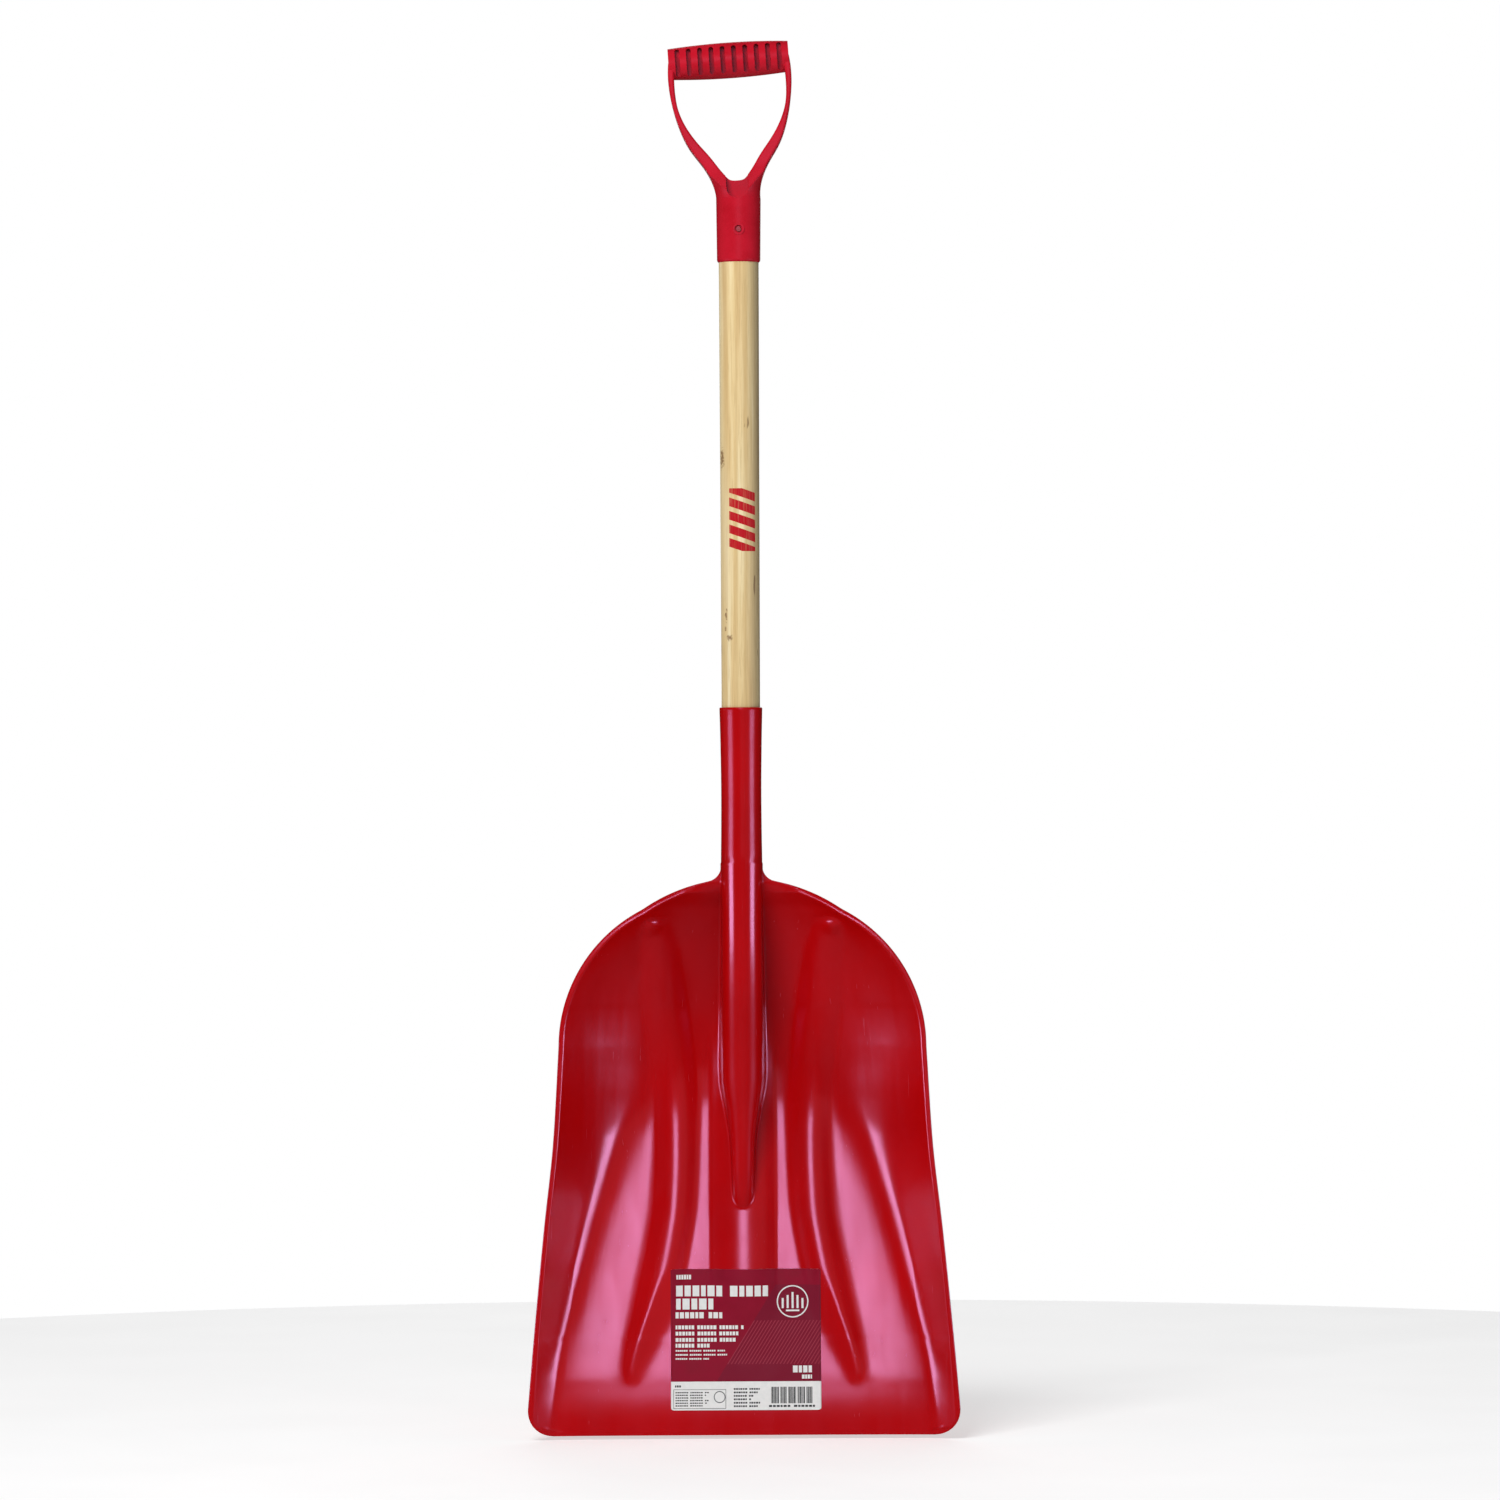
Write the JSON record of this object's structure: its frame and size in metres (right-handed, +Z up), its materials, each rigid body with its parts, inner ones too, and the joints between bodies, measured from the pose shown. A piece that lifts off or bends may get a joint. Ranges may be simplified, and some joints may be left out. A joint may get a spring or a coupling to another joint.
{
  "type": "grain scoop shovel",
  "caption": "Deep moulded scoop pan with raised ribs on a wooden shaft with a moulded D-grip, for moving grain, seed and other light loose material.",
  "frame": {"origin": "the hanging point on the underside of the grip bar, above the handle's axis", "axes": "+Z up the handle from the pan's lip to the grip, -Y out of the pan's open front, +X across the pan"},
  "size_m": [0.3842, 0.1034, 1.2408],
  "materials": {
    "blade_poly": "gloss",
    "shaft_wood": "satin",
    "grip_poly": "satin",
    "rivet_paint": "satin",
    "screw_steel": "satin",
    "label_paper": "satin"
  },
  "bodies": {
    "root": {"scoop_blade": "blade_poly", "handle_shaft": "shaft_wood", "d_grip": "grip_poly", "grip_rivet": "rivet_paint", "socket_screw": "screw_steel", "pan_label": "label_paper"}
  },
  "joints": []
}
